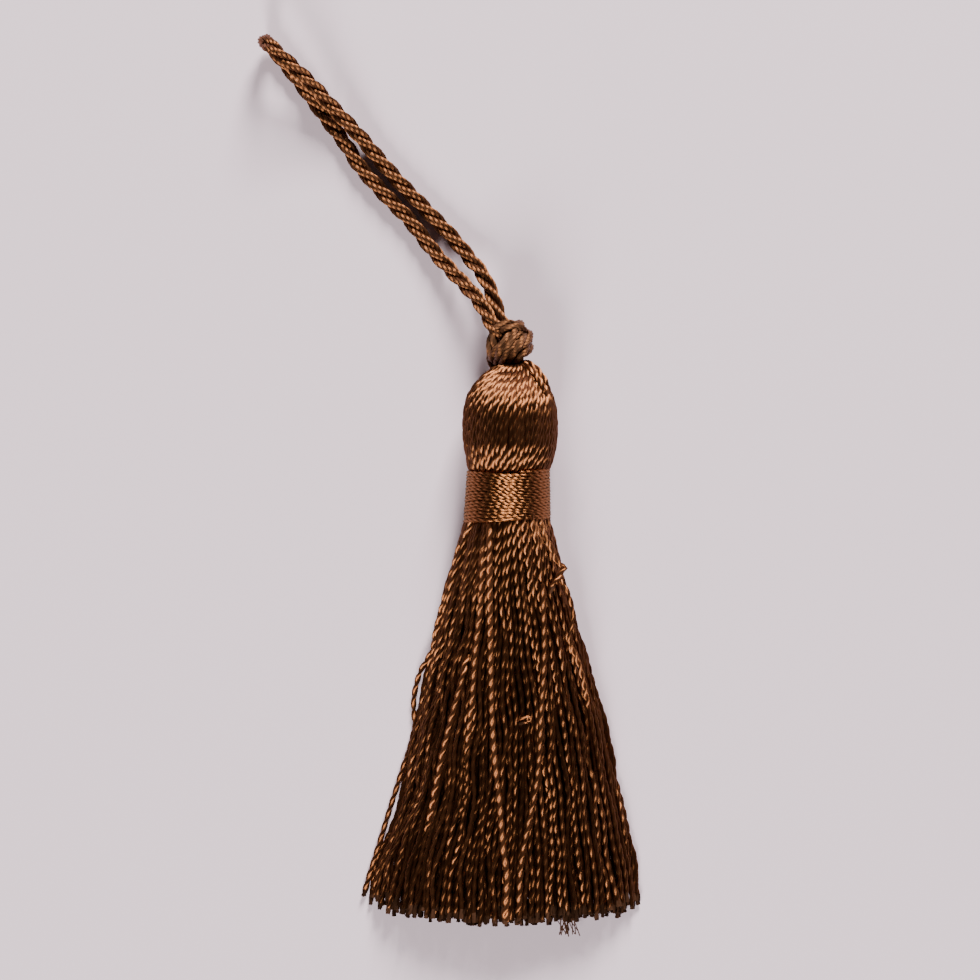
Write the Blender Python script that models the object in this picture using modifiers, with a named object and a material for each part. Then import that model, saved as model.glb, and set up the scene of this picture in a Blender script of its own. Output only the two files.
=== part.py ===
"""A small twisted-yarn tassel that lies on a table, with its hanging loop laid out to the upper left.

Metres, +Z up. The tassel's axis runs along Y: the skirt points to -Y and the loop to +Y. While
the pieces are made, Y is 0 at the binding's lower edge and X is 0 on the tassel's axis. The last
step moves everything so that the origin is under the middle of the tassel, its loop left out.
"""

from collections import namedtuple
from math import cos, hypot, pi, radians, sin, sqrt

import bmesh
import bpy
import numpy as np
from mathutils import Euler, Vector

MM = 0.001
GAP = 0.3 * MM

# The head is the folded top of the yarn bundle, and lies on a small flat spot.
HEAD_RADIUS = 4.90 * MM
FLAT_SPOT_SINK = 0.35 * MM
AXIS_HEIGHT = HEAD_RADIUS - FLAT_SPOT_SINK
YARN_RIDGE = 0.18 * MM

# The binding is yarn wound round the neck.
BINDING_LENGTH = 5.5 * MM
BINDING_RADIUS = 4.52 * MM
BINDING_TURNS = 7
BINDING_GROOVE = 0.14 * MM
CORE_RADIUS = 3.95 * MM

# Each row is one level of the head: how far above the binding, and its radius there.
HeadLevel = namedtuple("HeadLevel", "above_binding radius")
HEAD_LEVELS = [
    HeadLevel(0.0 * MM, 4.30 * MM),
    HeadLevel(1.1 * MM, 4.54 * MM),
    HeadLevel(2.5 * MM, 4.82 * MM),
    HeadLevel(3.9 * MM, HEAD_RADIUS),
    HeadLevel(5.4 * MM, 4.86 * MM),
    HeadLevel(6.7 * MM, 4.62 * MM),
    HeadLevel(7.5 * MM, 4.32 * MM),
    HeadLevel(8.2 * MM, 3.92 * MM),
    HeadLevel(8.8 * MM, 3.50 * MM),
    HeadLevel(9.4 * MM, 2.95 * MM),
    HeadLevel(9.9 * MM, 2.20 * MM),
]

# The skirt is the bundle's cut ends, one square strand for each tile of the neck's end face.
STRAND_COLUMNS = 22
STRAND_ROWS = 8
TILE_INSET = 0.010
SKIRT_LENGTH = 41.2 * MM
SIDE_SHORTENING = 2.3 * MM
STRAND_HALF = 0.31 * MM
STRAND_SHARE = 0.43
LENGTH_SCATTER = 0.45 * MM
PATH_SCATTER = 0.16 * MM
ROUND_HEIGHT_RADIUS = 4.15 * MM

# Each row is one cross-section of the skirt. fall is the share of the strand's length, slump goes
# from 0 for a round bundle to 1 for a low mound on the table, and shift is sideways.
SkirtSection = namedtuple("SkirtSection", "fall half_width shift mound_height slump")
SKIRT_SECTIONS = [
    SkirtSection(0.035, 4.75 * MM, 0.00 * MM, 8.4 * MM, 0.05),
    SkirtSection(0.300, 7.80 * MM, 0.00 * MM, 6.8 * MM, 0.60),
    SkirtSection(0.650, 11.55 * MM, 0.00 * MM, 5.2 * MM, 1.00),
    SkirtSection(1.000, 14.40 * MM, -0.65 * MM, 4.3 * MM, 1.00),
]

# The hanging cord is laid from three strands.
CORD_RADIUS = 0.775 * MM
CORD_GROOVE_RADIUS = 0.52 * MM
CORD_FLANK_RADIUS = 0.70 * MM
CORD_STRANDS = 3
CORD_LAY = 6.7 * MM
CORD_STEPS_PER_LAY = 9

# The knot is a barrel of cord turns round the two legs, tilted as the loop leaves it.
KNOT_CENTRE = Vector((-0.20 * MM, 18.25 * MM, 4.25 * MM))
KNOT_TILT = radians(31)
KNOT_TURNS = 2.0
KNOT_TURN_RADIUS = 1.55 * MM
KNOT_TURN_PITCH = 1.30 * MM
KNOT_CORD_RADIUS = 0.74 * MM
KNOT_CORE_RADIUS = 1.50 * MM
KNOT_CORE_LENGTH = 3.3 * MM
KNOT_STEPS_PER_TURN = 12

# The loop's route, from the knot along the right leg to the tip and back along the left leg.
LOOP_TIP = Vector((-25.0 * MM, 49.2 * MM))
LOOP_TIP_HEADING = radians(135)
LOOP_TIP_BEND = 2.1 * MM
RIGHT_LEG_ROUTE_MM = [
    (-1.05, 20.80, 3.45),
    (-1.40, 22.00, 3.15),
    (-1.85, 23.40, 2.75),
    (-2.75, 25.30, 2.10),
    (-4.05, 27.00, 1.40),
    (-6.30, 29.70, 0.90),
    (-9.00, 32.50, 0.84),
    (-11.60, 35.20, 0.84),
    (-13.85, 37.80, 0.95),
    (-15.95, 40.20, 1.60),
    (-18.25, 42.60, 2.35),
    (-20.45, 44.95, 3.40),
]
LEFT_LEG_ROUTE_MM = [
    (-20.90, 44.30, 0.84),
    (-19.05, 41.75, 0.84),
    (-17.05, 39.10, 0.84),
    (-15.30, 36.40, 0.84),
    (-12.80, 33.60, 0.84),
    (-10.20, 30.90, 0.86),
    (-7.90, 27.90, 1.15),
    (-5.60, 25.35, 2.05),
    (-3.60, 23.20, 3.35),
    (-2.65, 21.75, 4.10),
    (-2.00, 20.45, 4.75),
]

# Name, base colour, roughness.
YARN_FINISH = ("twisted_rayon_yarn", (0.105, 0.048, 0.020, 1.0), 0.42)
BINDING_FINISH = ("wound_rayon_yarn", (0.130, 0.060, 0.026, 1.0), 0.40)
KNOT_FINISH = ("knotted_rayon_cord", (0.150, 0.070, 0.032, 1.0), 0.48)
LOOP_FINISH = ("laid_rayon_cord", (0.150, 0.070, 0.032, 1.0), 0.48)

SCATTER_SEED = 7


def clear_scene():
    for old in list(bpy.data.objects):
        bpy.data.objects.remove(old, do_unlink=True)


def new_collection(name):
    collection = bpy.data.collections.new(name)
    bpy.context.scene.collection.children.link(collection)
    return collection


def make_material(name, colour, roughness):
    material = bpy.data.materials.new(name)
    material.use_nodes = True
    shader = material.node_tree.nodes["Principled BSDF"]
    shader.inputs["Base Color"].default_value = colour
    shader.inputs["Roughness"].default_value = roughness
    shader.inputs["Metallic"].default_value = 0.0
    return material


def add_object(name, data, collection, material):
    made = bpy.data.objects.new(name, data)
    data.materials.append(material)
    collection.objects.link(made)
    return made


def mesh_from(bm, name):
    """The bmesh as a mesh, with its faces pointing outwards."""
    bmesh.ops.recalc_face_normals(bm, faces=bm.faces)
    mesh = bpy.data.meshes.new(name)
    bm.to_mesh(mesh)
    bm.free()
    return mesh


def disc_from_square(across, up):
    """A point of the square from -1 to 1, moved to its place in the unit disc."""
    return across * sqrt(1 - up * up / 2), up * sqrt(1 - across * across / 2)


# Yarn bundle: head, core under the binding, and skirt strands.


def tile_of(across, up):
    """Column and row of the tile that a point of the square lies in."""
    column = min(STRAND_COLUMNS - 1, int((across + 1) / 2 * STRAND_COLUMNS))
    row = min(STRAND_ROWS - 1, int((up + 1) / 2 * STRAND_ROWS))
    return column, row


def tile_centre(column, row):
    return (2 * column + 1) / STRAND_COLUMNS - 1, (2 * row + 1) / STRAND_ROWS - 1


def lowest_up(across):
    """How far down the unit disc the bundle's lowest strands lie, at this place across it."""
    below_middle = (1 - 1 / STRAND_ROWS) * sqrt(1 - 0.81 * across * across)
    at_the_side = sqrt(max(0.0, 1 - 1.1 * across * across))
    return -min(below_middle, at_the_side)


def section_place(across, up, section):
    """X and Z of a point of the unit disc in one cross-section of the skirt."""
    above_lowest = max(0.0, up - lowest_up(across))
    round_height = AXIS_HEIGHT + ROUND_HEIGHT_RADIUS * up
    mound_height = STRAND_HALF + section.mound_height / 2 * above_lowest
    height = (1 - section.slump) * round_height + section.slump * mound_height
    return section.shift + across * section.half_width, height


def strand_rings():
    """For each tile, its ring at each section as (X, Y, Z, half thickness)."""
    scatter = np.random.default_rng(SCATTER_SEED)
    tiles = [(c, r) for c in range(STRAND_COLUMNS) for r in range(STRAND_ROWS)]
    places = [disc_from_square(*tile_centre(*tile)) for tile in tiles]
    lengths = [
        SKIRT_LENGTH - SIDE_SHORTENING * across**2 + LENGTH_SCATTER * scatter.uniform(-1, 0)
        for across, _ in places
    ]
    rings = {tile: [] for tile in tiles}
    for section in SKIRT_SECTIONS:
        centres = np.array([section_place(*place, section) for place in places])
        for n, (column, row) in enumerate(tiles):
            stagger = section.half_width / STRAND_COLUMNS * (0.5 if row % 2 else -0.5)
            centres[n, 0] += section.slump * stagger
            centres[n, 0] += section.fall * PATH_SCATTER * scatter.uniform(-1, 1)
        apart = np.abs(centres[:, None, :] - centres[None, :, :]).max(axis=2)
        np.fill_diagonal(apart, np.inf)
        halves = np.minimum(STRAND_HALF, STRAND_SHARE * apart.min(axis=1))
        for n, tile in enumerate(tiles):
            x, z = centres[n]
            # The lowest strands rest on the table over their whole width.
            z = max(z, halves[n]) if z > STRAND_HALF * 1.02 else halves[n]
            rings[tile].append((x, -section.fall * lengths[n], z, halves[n]))
    return rings


def bundle_levels():
    """Y and radius of each ring above the neck's end face: the core, then the head."""
    head_base = BINDING_LENGTH + GAP
    levels = [(head_base, CORE_RADIUS)]
    levels += [(head_base + level.above_binding, level.radius) for level in HEAD_LEVELS]
    return levels


def straight_brush():
    """The bundle's faces before they are bent: level is 0 at the neck's end face, one less
    for each skirt section below it, and one more for each ring above it."""
    bm = bmesh.new()
    bmesh.ops.create_grid(bm, x_segments=STRAND_COLUMNS, y_segments=STRAND_ROWS, size=1.0)
    strand_ends = list(bm.faces)
    bmesh.ops.inset_individual(bm, faces=strand_ends, thickness=TILE_INSET)
    for _ in SKIRT_SECTIONS:
        extruded = bmesh.ops.extrude_discrete_faces(bm, faces=strand_ends)
        strand_ends = extruded["faces"]
        corners = list({corner for face in strand_ends for corner in face.verts})
        bmesh.ops.translate(bm, verts=corners, vec=(0, 0, -1))
    for _ in bundle_levels():
        rim = [edge for edge in bm.edges if edge.is_boundary]
        extruded = bmesh.ops.extrude_edge_only(bm, edges=rim)["geom"]
        corners = [item for item in extruded if isinstance(item, bmesh.types.BMVert)]
        bmesh.ops.translate(bm, verts=corners, vec=(0, 0, 1))
    rim = [edge for edge in bm.edges if edge.is_boundary]
    bmesh.ops.contextual_create(bm, geom=rim)
    return bm


def bend_brush(bm):
    """Moves every corner of the straight brush to its real place."""
    levels = bundle_levels()
    rings = strand_rings()
    for corner in bm.verts:
        across, up, level = corner.co
        level = round(level)
        if level < 0:
            column, row = tile_of(across, up)
            middle_across, middle_up = tile_centre(column, row)
            x, y, z, half = rings[column, row][-level - 1]
            side = half if across > middle_across else -half
            rise = half if up > middle_up else -half
            corner.co = (x + side, y, z + rise)
            continue
        disc_across, disc_up = disc_from_square(across, up)
        if level == 0:
            corner.co = (
                disc_across * CORE_RADIUS,
                0,
                AXIS_HEIGHT + disc_up * CORE_RADIUS,
            )
            continue
        y, radius = levels[level - 1]
        column = round((across + 1) / 2 * STRAND_COLUMNS)
        row = round((up + 1) / 2 * STRAND_ROWS)
        in_groove = level > 1 and (column + row) % 2 == 1
        radius -= YARN_RIDGE if in_groove else 0
        reach = radius / hypot(disc_across, disc_up)
        height = AXIS_HEIGHT + disc_up * reach
        corner.co = (disc_across * reach, y, max(0.0, height))


def add_yarn_bundle(collection, material):
    bm = straight_brush()
    bend_brush(bm)
    bundle = add_object("yarn_bundle", mesh_from(bm, "yarn_bundle"), collection, material)
    bundle.data.shade_smooth()
    bundle.data.set_sharp_from_angle(angle=radians(35))


# Binding: turns of yarn wound round the neck.


def add_binding(collection, material):
    inner = CORE_RADIUS + GAP
    pitch = (BINDING_LENGTH - GAP) / BINDING_TURNS
    outline = [(inner, BINDING_LENGTH)]
    for turn in range(BINDING_TURNS):
        top = BINDING_LENGTH - turn * pitch
        outline.append((BINDING_RADIUS - BINDING_GROOVE, top))
        outline.append((BINDING_RADIUS, top - 0.3 * pitch))
        outline.append((BINDING_RADIUS, top - 0.7 * pitch))
    outline.append((BINDING_RADIUS - BINDING_GROOVE, GAP))
    outline.append((inner, GAP))
    profile = bpy.data.meshes.new("neck_binding")
    count = len(outline)
    profile.from_pydata(
        [(radius, y, 0) for radius, y in outline],
        [(n, (n + 1) % count) for n in range(count)],
        [],
    )
    ring = add_object("neck_binding", profile, collection, material)
    ring.location = (0, 0, AXIS_HEIGHT)
    winding = ring.modifiers.new("Winding", "SCREW")
    winding.axis = "Y"
    winding.steps = 32
    winding.render_steps = 32
    winding.use_merge_vertices = True
    winding.merge_threshold = 0.00002
    winding.use_normal_calculate = True
    winding.use_smooth_shade = True


# Hanging cord: the loop and the knot that holds it on the head.


def smooth_route(points, step):
    """Points about a step apart on the smooth curve through the given points."""
    route = np.array([Vector(point) for point in points])
    route = np.vstack([2 * route[0] - route[1], route, 2 * route[-1] - route[-2]])
    fine = []
    for before, start, end, after in zip(route, route[1:], route[2:], route[3:]):
        for share in np.linspace(0, 1, 24, endpoint=False):
            fine.append(
                0.5
                * (
                    2 * start
                    + (end - before) * share
                    + (2 * before - 5 * start + 4 * end - after) * share**2
                    + (3 * start - before - 3 * end + after) * share**3
                )
            )
    fine = np.array(fine + [route[-2]])
    along = np.concatenate([[0], np.cumsum(np.linalg.norm(np.diff(fine, axis=0), axis=1))])
    places = np.linspace(0, along[-1], round(along[-1] / step) + 1)
    return np.stack([np.interp(places, along, fine[:, axis]) for axis in range(3)], axis=1)


def poly_curve(name, points, twist_per_point):
    curve = bpy.data.curves.new(name, "CURVE")
    curve.dimensions = "3D"
    spline = curve.splines.new("POLY")
    spline.points.add(len(points) - 1)
    for n, (target, point) in enumerate(zip(spline.points, points)):
        target.co = (*point, 1)
        target.tilt = n * twist_per_point
    curve.use_fill_caps = True
    return curve


def laid_cord_profile(cutters):
    """The cord's outline across its length: one lobe for each strand."""
    outline = []
    for lobe in range(CORD_STRANDS):
        start = 2 * pi * lobe / CORD_STRANDS
        radii = (CORD_RADIUS, CORD_FLANK_RADIUS, CORD_GROOVE_RADIUS, CORD_FLANK_RADIUS)
        for n, radius in enumerate(radii):
            angle = -start - 2 * pi / CORD_STRANDS * n / len(radii)
            outline.append((radius * cos(angle), radius * sin(angle), 0, 1))
    curve = bpy.data.curves.new("cord_profile", "CURVE")
    spline = curve.splines.new("POLY")
    spline.points.add(len(outline) - 1)
    for target, point in zip(spline.points, outline):
        target.co = point
    spline.use_cyclic_u = True
    profile = bpy.data.objects.new("cord_profile", curve)
    profile.hide_render = True
    profile.display_type = "WIRE"
    cutters.objects.link(profile)
    return profile


def tip_route():
    """The bight at the loop's tip: half a turn in an upright plane, upper leg to lower leg."""
    heading = Vector((cos(LOOP_TIP_HEADING), sin(LOOP_TIP_HEADING), 0))
    centre = LOOP_TIP.to_3d() - heading * LOOP_TIP_BEND
    centre.z = CORD_RADIUS + LOOP_TIP_BEND
    points = []
    for degrees in (80, 45, 15, -15, -45, -80):
        lift = Vector((0, 0, sin(radians(degrees))))
        points.append(centre + LOOP_TIP_BEND * (heading * cos(radians(degrees)) + lift))
    return points


def add_hanging_loop(collection, cutters, material):
    right_leg = [Vector(point) * MM for point in RIGHT_LEG_ROUTE_MM]
    left_leg = [Vector(point) * MM for point in LEFT_LEG_ROUTE_MM]
    step = CORD_LAY / CORD_STEPS_PER_LAY
    route = smooth_route(right_leg + tip_route() + left_leg, step)
    curve = poly_curve("hanging_loop", route, -2 * pi / CORD_STEPS_PER_LAY)
    curve.bevel_mode = "OBJECT"
    curve.bevel_object = laid_cord_profile(cutters)
    add_object("hanging_loop", curve, collection, material)


def knot_turns():
    """The middle line of the cord that is wound into the knot."""
    steps = round(KNOT_TURNS * KNOT_STEPS_PER_TURN)
    tilt = Euler((0, 0, KNOT_TILT)).to_matrix()
    points = []
    for n in range(steps + 1):
        angle = 2 * pi * n / KNOT_STEPS_PER_TURN
        along = (n / KNOT_STEPS_PER_TURN - KNOT_TURNS / 2) * KNOT_TURN_PITCH
        turn = Vector((cos(angle) * KNOT_TURN_RADIUS, -along, sin(angle) * KNOT_TURN_RADIUS))
        points.append(KNOT_CENTRE + tilt @ turn)
    return points


def solid_from_curve(curve, name, cutters):
    """A hidden mesh object with the curve's shape and closed caps."""
    source = bpy.data.objects.new(name + "_line", curve)
    cutters.objects.link(source)
    bpy.context.view_layer.update()
    graph = bpy.context.evaluated_depsgraph_get()
    mesh = bpy.data.meshes.new_from_object(source.evaluated_get(graph))
    bpy.data.objects.remove(source)
    bm = bmesh.new()
    bm.from_mesh(mesh)
    bmesh.ops.remove_doubles(bm, verts=bm.verts, dist=0.00001)
    bmesh.ops.recalc_face_normals(bm, faces=bm.faces)
    bm.to_mesh(mesh)
    bm.free()
    return mesh


def add_knot(collection, cutters, material):
    curve = poly_curve("knot_turns", knot_turns(), 0)
    curve.bevel_depth = KNOT_CORD_RADIUS
    curve.bevel_resolution = 2
    knot = add_object("knot", solid_from_curve(curve, "knot", cutters), collection, material)
    core_bm = bmesh.new()
    bmesh.ops.create_cone(
        core_bm,
        cap_ends=True,
        segments=14,
        radius1=KNOT_CORE_RADIUS,
        radius2=KNOT_CORE_RADIUS,
        depth=KNOT_CORE_LENGTH,
    )
    core = bpy.data.objects.new("knot_core", mesh_from(core_bm, "knot_core"))
    core.rotation_euler = (pi / 2, 0, KNOT_TILT)
    core.location = KNOT_CENTRE
    core.hide_render = True
    core.display_type = "WIRE"
    cutters.objects.link(core)
    join = knot.modifiers.new("Join core", "BOOLEAN")
    join.operation = "UNION"
    join.use_self = True
    join.object = core


def move_origin_under_tassel(collection, cutters):
    """Puts the origin under the middle of the tassel, measured without the hanging loop."""
    bpy.context.view_layer.update()
    graph = bpy.context.evaluated_depsgraph_get()
    corners = []
    for made in collection.objects:
        if made.name == "hanging_loop":
            continue
        evaluated = made.evaluated_get(graph)
        mesh = evaluated.to_mesh()
        corners += [evaluated.matrix_world @ corner.co for corner in mesh.vertices]
        evaluated.to_mesh_clear()
    low_x = min(corner.x for corner in corners)
    high_x = max(corner.x for corner in corners)
    low_y = min(corner.y for corner in corners)
    high_y = max(corner.y for corner in corners)
    shift = Vector((-(low_x + high_x) / 2, -(low_y + high_y) / 2, 0))
    for made in list(collection.objects) + list(cutters.objects):
        made.location += shift


def main():
    clear_scene()
    tassel = new_collection("Tassel")
    cutters = new_collection("Helpers")
    add_yarn_bundle(tassel, make_material(*YARN_FINISH))
    add_binding(tassel, make_material(*BINDING_FINISH))
    add_knot(tassel, cutters, make_material(*KNOT_FINISH))
    add_hanging_loop(tassel, cutters, make_material(*LOOP_FINISH))
    move_origin_under_tassel(tassel, cutters)


main()
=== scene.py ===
"""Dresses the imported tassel: twisted rayon yarns, a wound neck, a knot and a laid hanging cord.

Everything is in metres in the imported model's frame: the tassel lies on the table with its skirt
towards -Y, and the hanging loop is laid out to the upper left. The classes' own sizes are in
millimetres, and their yarns are turned to metres when they are joined into a mesh.
"""

from __future__ import annotations

import logging
import math
from dataclasses import dataclass, field, replace
from enum import Enum
from functools import partial
from typing import NamedTuple

import bmesh
import bpy
import numpy as np
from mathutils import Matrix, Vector


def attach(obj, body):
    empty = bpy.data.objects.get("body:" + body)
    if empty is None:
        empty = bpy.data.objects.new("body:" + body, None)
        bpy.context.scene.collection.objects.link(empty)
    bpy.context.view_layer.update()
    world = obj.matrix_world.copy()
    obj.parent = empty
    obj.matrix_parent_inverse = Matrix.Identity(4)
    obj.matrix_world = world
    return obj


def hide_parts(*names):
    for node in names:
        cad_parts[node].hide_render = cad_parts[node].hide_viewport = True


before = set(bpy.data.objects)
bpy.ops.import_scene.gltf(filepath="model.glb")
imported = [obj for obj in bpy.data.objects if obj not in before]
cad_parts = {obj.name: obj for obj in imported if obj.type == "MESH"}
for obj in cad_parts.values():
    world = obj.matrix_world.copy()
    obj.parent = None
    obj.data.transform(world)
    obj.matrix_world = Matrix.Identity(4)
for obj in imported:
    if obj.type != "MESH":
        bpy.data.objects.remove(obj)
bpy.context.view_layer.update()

LOG = logging.getLogger("tassel")

MM = 0.001
# The tassel's axis, and the binding's lower edge and the head's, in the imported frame.
AXIS_X = 0.767
AXIS_Z = 4.55
NECK_Y = 10.15
HEAD_Y = NECK_Y + 5.8

YARN_UV = "yarn_lay"
YARN_TONE = "yarn_tone"

# How many points a smooth curve is first worked out at between two of its own.
POINTS_PER_SPAN = 24
# How far into its first step a tube has an extra ring.
END_RING = 0.03
# How wide a cut end is on the yarn's UV map.
END_UV_RADIUS = 0.1
# How far above the table the lowest yarns of the head and the binding are kept, in mm.
CLEARANCE = 0.01
# How far apart the points of a cord's smoothed route are, in mm.
ROUTE_STEP = 0.2
# The colour of layers that take nothing out of the light.
CLEAR = "ffffff"

Chance = np.random.Generator
Material = bpy.types.Material
Object = bpy.types.Object
Point = tuple[float, float, float]
Route = tuple[Point, ...]
# Places along a yarn in mm, and the value at each.
Profile = tuple[tuple[float, ...], tuple[float, ...]]


class Twist(Enum):
    """Which way plies turn along a yarn, named as spinners name it."""

    Z = 1
    S = -1


class SkirtRow(NamedTuple):
    """One level of the skirt: its edges across and the height of its crown, all in mm."""

    below_neck: float
    left: float
    right: float
    crown: float


class HeadRow(NamedTuple):
    """One level of the head: its radius across and upwards, and how far it lies off the axis."""

    above_binding: float
    radius: float
    crown: float
    off_axis: float


class StrayYarn(NamedTuple):
    """A yarn that leaves the others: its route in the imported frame, in mm, and its looks."""

    route: Route
    width: float
    tone: float
    end_width: float = 1.1


# Small helpers


def linear(hex_colour: str) -> tuple[float, float, float, float]:
    """Turns an sRGB hex colour to linear RGBA.

    Args:
        hex_colour: Six hex digits, without a hash sign.

    Returns:
        The colour that a shader socket takes.
    """
    shares = [int(hex_colour[n : n + 2], 16) / 255 for n in (0, 2, 4)]
    red, green, blue = (
        share / 12.92 if share <= 0.04045 else ((share + 0.055) / 1.055) ** 2.4 for share in shares
    )
    return red, green, blue, 1.0


def add_node(
    tree: bpy.types.NodeTree,
    kind: str,
    inputs: dict[str | int, object] | None = None,
    **settings: object,
) -> bpy.types.Node:
    """Adds a shader node with its settings, values and links.

    Args:
        tree: The node tree to add to.
        kind: The node's type, without the ShaderNode prefix.
        inputs: Socket names or numbers, each with a value or the output socket to link from.
        **settings: Properties of the node itself.

    Returns:
        The new node.
    """
    node = tree.nodes.new("ShaderNode" + kind)
    for name, value in settings.items():
        setattr(node, name, value)
    for name, value in (inputs or {}).items():
        if isinstance(value, bpy.types.NodeSocket):
            tree.links.new(value, node.inputs[name])
        else:
            node.inputs[name].default_value = value
    return node


def smooth_route(points: np.ndarray, step: float) -> np.ndarray:
    """Puts points at even distances on the smooth curve through the given ones.

    Args:
        points: The route's own points, one row each.
        step: The wanted distance between the new points.

    Returns:
        The new points, with the first and the last kept.
    """
    route = np.vstack([2 * points[0] - points[1], points, 2 * points[-1] - points[-2]])
    share = np.linspace(0, 1, POINTS_PER_SPAN, endpoint=False)[:, None]
    spans = [
        0.5
        * (
            2 * start
            + (end - before) * share
            + (2 * before - 5 * start + 4 * end - after) * share**2
            + (3 * start - before - 3 * end + after) * share**3
        )
        for before, start, end, after in zip(route, route[1:], route[2:], route[3:])
    ]
    return even_steps(np.vstack([*spans, points[-1:]]), step)


def even_steps(line: np.ndarray, step: float) -> np.ndarray:
    """Puts points at even distances on a line of many short straight pieces.

    Args:
        line: The line's points, one row each.
        step: The wanted distance between the new points.

    Returns:
        The new points, with the first and the last kept.
    """
    along = lengths_along(line)
    places = np.linspace(0, along[-1], max(3, round(along[-1] / step) + 1))
    return np.stack([np.interp(places, along, line[:, axis]) for axis in range(3)], axis=1)


def lengths_along(line: np.ndarray) -> np.ndarray:
    """Gives each point's distance from the line's start, measured along it."""
    return np.concatenate([[0.0], np.cumsum(np.linalg.norm(np.diff(line, axis=0), axis=1))])


def unit(vectors: np.ndarray) -> np.ndarray:
    """Scales each row to length one."""
    return vectors / np.linalg.norm(vectors, axis=-1, keepdims=True)


def steady_frames(line: np.ndarray) -> tuple[np.ndarray, np.ndarray]:
    """Finds two directions across a line that don't turn about it on their own.

    Args:
        line: The line's points, one row each.

    Returns:
        The side and the rise at each point, so that side x rise points along the line.
    """
    ahead = unit(np.gradient(line, axis=0))
    steep = abs(ahead[0, 2]) >= 0.9
    start_up = np.array([0.0, 1.0, 0.0] if steep else [0.0, 0.0, 1.0])
    side = np.empty_like(line)
    side[0] = unit(np.cross(start_up, ahead[0]))
    for n in range(1, len(line)):
        kept = side[n - 1] - ahead[n] * (side[n - 1] @ ahead[n])
        side[n] = kept / math.sqrt(kept @ kept)
    return side, np.cross(ahead, side)


def wound_round(
    line: np.ndarray, radius: np.ndarray | float, pitch: float, twist: Twist, phase: float
) -> np.ndarray:
    """Winds a helix round a line.

    Args:
        line: The line's points, one row each.
        radius: The helix's radius, the same all along or at each point.
        pitch: The length of one turn along the line.
        twist: The way the helix turns.
        phase: Where it starts, in radians.

    Returns:
        The helix's points, one for each point of the line.
    """
    side, rise = steady_frames(line)
    angle = (phase + twist.value * math.tau * lengths_along(line) / pitch)[:, None]
    reach = np.reshape(radius, (-1, 1))
    return line + reach * (side * np.cos(angle) + rise * np.sin(angle))


def with_end_rings(rows: np.ndarray) -> np.ndarray:
    """Adds a ring close to each end, which keeps the shading of the walls off the flat ends.

    Args:
        rows: What each ring of a tube has, such as its points.

    Returns:
        The rows, with one more next to the first and next to the last.
    """
    near_start = (1 - END_RING) * rows[:1] + END_RING * rows[1:2]
    near_end = (1 - END_RING) * rows[-1:] + END_RING * rows[-2:-1]
    return np.concatenate([rows[:1], near_start, rows[1:-1], near_end, rows[-1:]])


# Yarn


@dataclass(frozen=True)
class Lay:
    """How a yarn is twisted from two plies, in mm.

    Attributes:
        ply_radius: A ply's own radius.
        apart: Half the distance between the plies' middles.
        pitch: The length of one full turn.
        twist: The way the plies turn.
        steps_per_turn: How many rings of points one turn has.
        sides: How many points each ring has.
    """

    ply_radius: float = 0.165
    apart: float = 0.128
    pitch: float = 2.65
    twist: Twist = Twist.Z
    steps_per_turn: int = 8
    sides: int = 6

    @property
    def step(self) -> float:
        """The distance between rings of points, in mm."""
        return self.pitch / self.steps_per_turn

    @property
    def reach(self) -> float:
        """The yarn's greatest radius, in mm."""
        return self.ply_radius + self.apart

    @property
    def filament_pitch(self) -> float:
        """The pitch at which a ply's filaments turn back, so that they run along the yarn."""
        return self.twist.value * self.ply_radius * self.pitch / self.apart


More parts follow.
